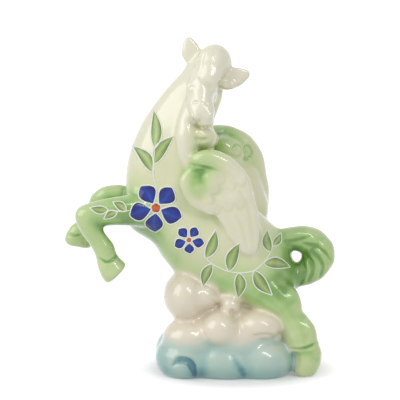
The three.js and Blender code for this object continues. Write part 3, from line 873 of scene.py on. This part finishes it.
def mapped(tree, value, limits):
    """A value taken from one range to another, each from 0 to 1 where the limits don't say otherwise."""
    node = tree.nodes.new("ShaderNodeMapRange")
    for name, limit in limits.items():
        node.inputs[name].default_value = limit
    tree.links.new(value, node.inputs["Value"])
    return node.outputs["Result"]


def mottled(tree, name, scale, amount):
    """One of the skin's masks, mottled as an airbrush leaves it."""
    limits = {"To Min": 1 - amount, "To Max": 1 + amount}
    mottle = mapped(tree, noise(tree, scale, MOTTLE_DETAIL), limits)
    return calculated(tree, "MULTIPLY", attribute(tree, name), mottle)


def mixed(tree, factor, below, above):
    """One colour over another."""
    mix = tree.nodes.new("ShaderNodeMix")
    mix.data_type = "RGBA"
    for name, value in (("Factor", factor), ("A", below), ("B", above)):
        feed(tree, mix.inputs[name], value)
    return mix.outputs["Result"]


def coloured(tree, value, stops):
    """The colour that a ramp gives a value."""
    ramp = tree.nodes.new("ShaderNodeValToRGB")
    elements = ramp.color_ramp.elements
    while len(elements) < len(stops):
        elements.new(0.5)
    for element, (position, *colour) in zip(elements, stops):
        element.position = position
        element.color = linear(*colour)
    tree.links.new(value, ramp.inputs["Fac"])
    return ramp.outputs["Color"]


def glaze_material():
    """Airbrushed glaze under a clear coat: cream through green, with blush and blue on the cloud, and the
    painted shade of hollows and creases that its masks carry.
    """
    material, tree, shader = new_material("glaze")
    shader.inputs["Roughness"].default_value = GLAZE_ROUGHNESS
    shader.inputs["Coat Weight"].default_value = GLAZE_COAT
    shader.inputs["Coat Roughness"].default_value = COAT_ROUGHNESS
    horse = coloured(tree, mottled(tree, "green", *GREEN_MOTTLE), GREEN_GLAZE)
    warm = mixed(tree, mottled(tree, "blush", *BLUSH_MOTTLE), horse, BLUSH)
    blue = mottled(tree, "blue", *BLUE_MOTTLE)
    cover = mapped(tree, blue, {"From Max": SEA_COVER})
    colour = mixed(tree, cover, warm, coloured(tree, blue, BLUE_GLAZE))
    tree.links.new(colour, shader.inputs["Base Color"])

    ripple = tree.nodes.new("ShaderNodeTexNoise")
    ripple.inputs["Scale"].default_value = RIPPLE_SCALE
    bump = tree.nodes.new("ShaderNodeBump")
    bump.inputs["Strength"].default_value = RIPPLE_STRENGTH
    bump.inputs["Distance"].default_value = RIPPLE_HEIGHT
    tree.links.new(ripple.outputs["Fac"], bump.inputs["Height"])
    tree.links.new(bump.outputs["Normal"], shader.inputs["Coat Normal"])
    return material


# Painted blossoms and leaves: pools of coloured glaze between raised lines of slip

# Blossoms as the centre's pixel, the petals' length in pixels and the turn of the first petal in degrees
BLOSSOMS = [((156, 208), 26, -52), ((189, 240), 15, -60)]
PETALS = 5
# Shares of a petal's length: the eye's radius, the petal's half-width and its bend to one side
EYE_SHARE = 0.2
PETAL_SHARE = 0.36
BEND_SHARE = 0.05
# How far into the eye a petal starts, as a share of the eye's radius
PETAL_START = 0.9
# How much the petals differ in length, and the angle in radians by which that changes from one to the next
PETAL_VARIETY = 0.08
VARIETY_TURN = 2.3

# Leaves as the pixels of root and tip, with the half-width and the bend to one side, in pixels
NECK_LEAVES = [
    ((153, 172), (133, 146), 6, 3),
    ((154, 164), (174, 136), 6, -3),
    ((155, 148), (154, 110), 5.6, 2),
]
BODY_LEAVES = [
    ((206, 258), (216, 230), 5.8, 2),
    ((212, 264), (203, 287), 5.2, 2),
    ((229, 271), (240, 243), 6.2, -2),
    ((239, 273), (238, 298), 5.8, -2),
    ((254, 271), (272, 295), 6.2, 2),
    ((264, 263), (290, 267), 5.6, -2),
    ((270, 252), (267, 230), 4.8, -2),
    ((273, 246), (281, 233), 3.8, 1),
]
ARM_LEAVES = [
    ((126, 211), (113, 202), 4.2, 1),
    ((117, 212), (104, 219), 3.8, 1),
    ((108, 210), (90, 208), 4.0, -1),
]
NECK_STEM = [(157, 190), (153, 172), (155, 148)]
BODY_STEM = [(199, 250), (211, 263), (231, 272), (253, 271), (267, 258), (273, 246)]
ARM_STEM = [(129.5, 210.5), (121, 211.5), (108, 210)]
STEM_STEPS = 14

# Lines of slip: their radius and sides, the share of an open line over which each end runs out, and the share
# of its section that is left there
SLIP_RADIUS = 0.42 * MM
SLIP_SIDES = 8
SLIP_RUN_OUT = 0.15
SLIP_THINNEST = 0.15
# Pools of glaze: how far their middle rises above the skin, the power that keeps it flat, and how far their
# base lies under the skin
POOL_LIFT = 0.22 * MM
POOL_FLATNESS = 4
POOL_DEPTH = 0.6 * MM
# A blade's rows and columns, and the share of its half-width that its ends keep
BLADE_ROWS = 22
BLADE_COLUMNS = 9
BLUNT_END = 0.08


def petal_half_width(along):
    """A petal's half-width, widest past its middle."""
    return np.sin(math.pi * along ** 1.25) ** 0.75


def leaf_half_width(along):
    """A leaf's half-width, widest before its middle."""
    return np.sin(math.pi * along ** 0.8) ** 0.9


def round_half_width(along):
    """A disc's half-width."""
    return np.sqrt(np.clip(4 * along * (1 - along), 0, 1))


def blade(root, tip, half, bend, profile):
    """A grid of pixels over a petal or leaf, with how far along and how far from its middle each lies."""
    root, tip = np.array(root, float), np.array(tip, float)
    axis = tip - root
    across = np.array([-axis[1], axis[0]]) / np.linalg.norm(axis)
    along = np.linspace(0, 1, BLADE_ROWS)[:, None]
    aside = np.linspace(-1, 1, BLADE_COLUMNS)[None, :]
    middle = root + along[..., None] * axis + (bend * np.sin(math.pi * along))[..., None] * across
    grid = middle + (aside * half * np.maximum(profile(along), BLUNT_END))[..., None] * across
    shape = (BLADE_ROWS, BLADE_COLUMNS)
    return grid, np.broadcast_to(along, shape), np.broadcast_to(np.abs(aside), shape)


def blade_edge(grid):
    """The outline of a blade's grid, once round."""
    return np.concatenate([grid[:, 0], grid[::-1, -1]])


class Build:
    """Points, faces and masks of a piece that is put together from several parts."""

    def __init__(self):
        self.points, self.faces, self.along, self.edge = [], [], [], []

    def add(self, points, faces, along, edge):
        """Takes in one more part."""
        start = len(self.points)
        self.points += [tuple(point) for point in points]
        self.faces += [tuple(start + i for i in face) for face in faces]
        self.along += list(along)
        self.edge += list(edge)

    def finish(self, name, slot, material):
        """Makes the piece."""
        mesh = new_mesh(name, self.points, self.faces, {"along": self.along, "edge": self.edge})
        mesh.materials.append(material)
        piece = add_object(name, mesh)
        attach(piece, "root")


def fits(pixels, hand):
    """Whether every ray through a grid of pixels meets the skin, with no jump from one fold to another."""
    places, _ = on_skin(glazed_skin, pixels.reshape(-1, 2), hand)
    if len(places) < pixels.size // 2:
        return False
    places = places.reshape(*pixels.shape[:2], 3)
    jumps = [np.linalg.norm(np.diff(places, axis=axis), axis=2).max() for axis in (0, 1)]
    return max(jumps) < FOLD


def add_pool(build, grid, along, edge, hand):
    """A closed pool of glaze over a grid of pixels, domed a little above the skin."""
    rows, columns = along.shape
    places, normals = on_skin(glazed_skin, grid.reshape(-1, 2), hand)
    along, edge = along.reshape(-1), edge.reshape(-1)
    top = places + normals * (POOL_LIFT * (1 - edge ** POOL_FLATNESS))[:, None]
    base = places - normals * POOL_DEPTH
    index = np.arange(rows * columns).reshape(rows, columns)
    cells = np.stack([index[:-1, :-1], index[:-1, 1:], index[1:, 1:], index[1:, :-1]], axis=2)
    cells = cells.reshape(-1, 4)
    ring = np.concatenate([index[:, 0], index[-1, 1:], index[-2::-1, -1], index[0, -2:0:-1]])
    below = len(top)
    walls = np.stack([ring, np.roll(ring, -1), np.roll(ring, -1) + below, ring + below], axis=1)
    if hand == FAR:
        cells, walls = cells[:, ::-1], walls[:, ::-1]
    faces = np.concatenate([cells, cells[:, ::-1] + below, walls])
    build.add(np.concatenate([top, base]), faces.tolist(), np.tile(along, 2), np.tile(edge, 2))


def add_slip(build, pixels, hand, closed=False):
    """A raised line of slip along pixels, half sunk in the skin."""
    places, normals = on_skin(glazed_skin, pixels, hand)
    if closed:
        tangents = np.roll(places, -1, axis=0) - np.roll(places, 1, axis=0)
    else:
        tangents = np.gradient(places, axis=0)
    tangents /= np.maximum(np.linalg.norm(tangents, axis=1, keepdims=True), TINY)
    across = np.cross(tangents, normals)
    count = len(places)
    size = np.full(count, SLIP_RADIUS)
    if not closed:
        along = np.linspace(0, 1, count)
        size *= np.sqrt(np.clip(np.minimum(along, 1 - along) / SLIP_RUN_OUT, SLIP_THINNEST, 1))
    angles = np.linspace(0, 2 * math.pi, SLIP_SIDES, endpoint=False)
    spokes = [math.cos(angle) * across + math.sin(angle) * normals for angle in angles]
    rings = [places + size[:, None] * spoke for spoke in spokes]
    index = np.arange(count * SLIP_SIDES).reshape(count, SLIP_SIDES)
    start = index if closed else index[:-1]
    end = np.roll(index, -1, axis=0) if closed else index[1:]
    walls = np.stack([start, end, np.roll(end, -1, axis=1), np.roll(start, -1, axis=1)], axis=2)
    faces = walls.reshape(-1, 4).tolist()
    if not closed:
        faces += [index[0].tolist(), index[-1, ::-1].tolist()]
    none = np.zeros(count * SLIP_SIDES)
    build.add(np.stack(rings, axis=1).reshape(-1, 3), faces, none, none)


def add_field(build, slip, field, hand):
    """A pool of glaze with a line of slip round it, where the skin takes it whole."""
    grid, along, edge = field
    if fits(grid, hand):
        add_pool(build, grid, along, edge, hand)
        add_slip(slip, blade_edge(grid), hand, closed=True)


def add_blossom(petals, eyes, slip, centre, length, turn, hand):
    """The petals of a blossom and its eye, with slip round each."""
    centre = np.array(centre, float)
    eye = EYE_SHARE * length
    for i in range(PETALS):
        angle = math.radians(turn + 360 * i / PETALS)
        aim = np.array([math.cos(angle), math.sin(angle)])
        root = centre + aim * eye * PETAL_START
        tip = centre + aim * length * (1 + PETAL_VARIETY * math.sin(VARIETY_TURN * i))
        petal = blade(root, tip, length * PETAL_SHARE, length * BEND_SHARE, petal_half_width)
        add_field(petals, slip, petal, hand)
    side = np.array([eye, 0])
    add_field(eyes, slip, blade(centre - side, centre + side, eye, 0, round_half_width), hand)


def painted_material(name, scale, stops):
    """Coloured glaze that pools: darker along the edge and towards the tip of its field, and speckled."""
    material, tree, shader = new_material(name)
    shader.inputs["Roughness"].default_value = PAINT_ROUGHNESS
    shader.inputs["Specular IOR Level"].default_value = PAINT_SPECULAR
    shader.inputs["Coat Weight"].default_value = PAINT_COAT
    shader.inputs["Coat Roughness"].default_value = COAT_ROUGHNESS
    tint = calculated(tree, "MULTIPLY", attribute(tree, "along"), TIP_DEPTH)
    depth = calculated(tree, "MULTIPLY_ADD", attribute(tree, "edge"), EDGE_DEPTH, tint)
    speckled = calculated(tree, "MULTIPLY_ADD", noise(tree, scale, SPECK_DETAIL), SPECK_DEPTH, depth)
    shifted = calculated(tree, "SUBTRACT", speckled, SPECK_DEPTH / 2)
    tree.links.new(coloured(tree, shifted, stops), shader.inputs["Base Color"])
    return material


# Paints as the scale of their specks and a ramp of colours, from the middle of a field to its edge
PAINTS = {
    "cobalt": (260, [(0.0, 30, 82, 178), (0.35, 8, 44, 148), (0.7, 4, 24, 112), (1.0, 2, 10, 64)]),
    "leaf": (240, [(0.0, 190, 206, 146), (0.45, 146, 172, 98), (0.8, 96, 128, 62), (1.0, 58, 88, 40)]),
    "orange": (300, [(0.0, 214, 110, 50), (0.6, 190, 78, 34), (1.0, 140, 48, 22)]),
    "slip": (200, [(0.0, 236, 240, 228), (1.0, 206, 224, 200)]),
}


def paint_side(side, hand, painted):
    """Blossoms, leaves and slip lines of one side of the horse, in the painted materials."""
    petals, eyes, leaves, slip = Build(), Build(), Build(), Build()
    for centre, length, turn in BLOSSOMS:
        add_blossom(petals, eyes, slip, centre, length, turn, hand)
    sprigs = [(NECK_STEM, NECK_LEAVES), (BODY_STEM, BODY_LEAVES)]
    if hand == NEAR:
        sprigs.append((ARM_STEM, ARM_LEAVES))
    for stem, sprig in sprigs:
        add_slip(slip, smooth_path(stem, STEM_STEPS), hand)
        for leaf in sprig:
            add_field(leaves, slip, blade(*leaf, leaf_half_width), hand)
    petals.finish(side + "_petals", "cobalt_glaze", painted["cobalt"])
    eyes.finish(side + "_blossom_eyes", "cobalt_glaze", painted["orange"])
    leaves.finish(side + "_leaves", "green_glaze", painted["leaf"])
    slip.finish(side + "_slip_lines", "slip_line", painted["slip"])


# Stage

# Lamps as place, width and height, watts, and turn about their own axis in degrees
LAMPS = {
    "key": (Vector((-1.15, -0.5, 0.9)), (1.2, 1.2), 9, 0),
    "strip": (Vector((0.5, -0.95, 1.05)), (0.15, 0.9), 4.5, 35),
}
# The world's strength as light on the object
WORLD_LIGHT = 0.46
# The paper: its side, how far under the object's foot it lies, its gloss, and its strength where it glows
FLOOR_SIZE = 12.0
FLOOR_DROP = 0.2 * MM
PAPER = (0.9, 0.9, 0.9, 1)
PAPER_ROUGHNESS = 0.9
PAPER_SPECULAR = 0.1
FLOOR_GLOW = 1.15
# Where the paper's glow starts and is full, in half-widths of the object's foot, its share up to the start,
# and how much deeper than the foot the shadow is
SHADOW_START = 0.85
SHADOW_END = 1.3
SHADOW_GLOW = 0.2
SHADOW_DEPTH = 24 * MM


def add_light(name, place, size, watts, turn):
    """A soft box that faces the object."""
    light = bpy.data.lights.new(name, "AREA")
    light.shape = "RECTANGLE"
    light.size, light.size_y = size
    light.energy = watts
    lamp = add_object(name, light)
    lamp.location = place
    aim = (CAMERA_TARGET - lamp.location).to_track_quat("-Z", "Y")
    lamp.rotation_euler = (aim @ Quaternion((0, 0, 1), math.radians(turn))).to_euler()


def add_camera():
    """The photograph's camera."""
    camera = add_object("camera", bpy.data.cameras.new("camera"))
    camera.data.lens = camera.data.sensor_width * CAMERA_DISTANCE / PHOTO_SPAN
    camera.location = CAMERA_PLACE
    camera.rotation_euler = (CAMERA_TARGET - CAMERA_PLACE).to_track_quat("-Z", "Y").to_euler()
    bpy.context.scene.camera = camera


def seen_directly(tree):
    """A factor that is 1 for what the eye meets straight, through glass or in a reflection, and else 0."""
    rays = tree.nodes.new("ShaderNodeLightPath").outputs
    through = calculated(tree, "MAXIMUM", rays["Is Camera Ray"], rays["Is Transmission Ray"])
    return calculated(tree, "MAXIMUM", through, rays["Is Glossy Ray"])


def add_world():
    """An even white sky, which lights the object less than it shows."""
    world = bpy.data.worlds.new("studio")
    world.use_nodes = True
    bpy.context.scene.world = world
    tree = world.node_tree
    sky = tree.nodes["Background"]
    sky.inputs["Color"].default_value = (1, 1, 1, 1)
    tree.links.new(mapped(tree, seen_directly(tree), {"To Min": WORLD_LIGHT}), sky.inputs["Strength"])


def add_floor():
    """Pale paper that glows white to the eye further out and keeps the shadow round the object's foot."""
    side = FLOOR_SIZE / 2
    mesh = bpy.data.meshes.new("floor")
    corners = [(-side, -side, 0), (side, -side, 0), (side, side, 0), (-side, side, 0)]
    mesh.from_pydata(corners, [], [(0, 1, 2, 3)])
    floor = add_object("floor", mesh)
    floor.location.z = -FLOOR_DROP
    material, tree, paper = new_material("floor")
    paper.inputs["Base Color"].default_value = PAPER
    paper.inputs["Roughness"].default_value = PAPER_ROUGHNESS
    paper.inputs["Specular IOR Level"].default_value = PAPER_SPECULAR
    glow = tree.nodes.new("ShaderNodeEmission")
    glow.inputs["Strength"].default_value = FLOOR_GLOW

    low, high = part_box("cloud_base")
    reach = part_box("near_hind_leg")[1].x - low.x
    place = tree.nodes.new("ShaderNodeTexCoord")
    ellipse = tree.nodes.new("ShaderNodeVectorMath")
    ellipse.operation = "MULTIPLY_ADD"
    ellipse.inputs[1].default_value = (2 / reach, 2 / (high.y - low.y + SHADOW_DEPTH), 0)
    ellipse.inputs[2].default_value = (-(2 * low.x / reach + 1), 0, 0)
    tree.links.new(place.outputs["Object"], ellipse.inputs[0])
    away = tree.nodes.new("ShaderNodeVectorMath")
    away.operation = "LENGTH"
    tree.links.new(ellipse.outputs["Vector"], away.inputs[0])
    limits = {"From Min": SHADOW_START, "From Max": SHADOW_END, "To Min": SHADOW_GLOW}
    fade = mapped(tree, away.outputs["Value"], limits)
    mix = tree.nodes.new("ShaderNodeMixShader")
    tree.links.new(calculated(tree, "MULTIPLY", seen_directly(tree), fade), mix.inputs["Fac"])
    tree.links.new(paper.outputs["BSDF"], mix.inputs[1])
    tree.links.new(glow.outputs["Emission"], mix.inputs[2])
    tree.links.new(mix.outputs["Shader"], tree.nodes["Material Output"].inputs["Surface"])
    mesh.materials.append(material)


# The pieces and the stage

points, quads = zero_surface(skin)
labels = divide(points, quads)
normals = slope_of(skin, points)
masks = glaze_masks(points)
material = glaze_material()
for index, name in enumerate(NAMES):
    piece = make_piece(name, points, quads[labels == index], normals, masks)
    piece.data.materials.append(material)

glazed_skin = surface_tree(skin)
painted = {name: painted_material(name, *paint) for name, paint in PAINTS.items()}
paint_side("near", NEAR, painted)
paint_side("far", FAR, painted)

bpy.context.scene.view_settings.view_transform = "Standard"
add_camera()
add_world()
add_floor()
for name, lamp in LAMPS.items():
    add_light(name, *lamp)
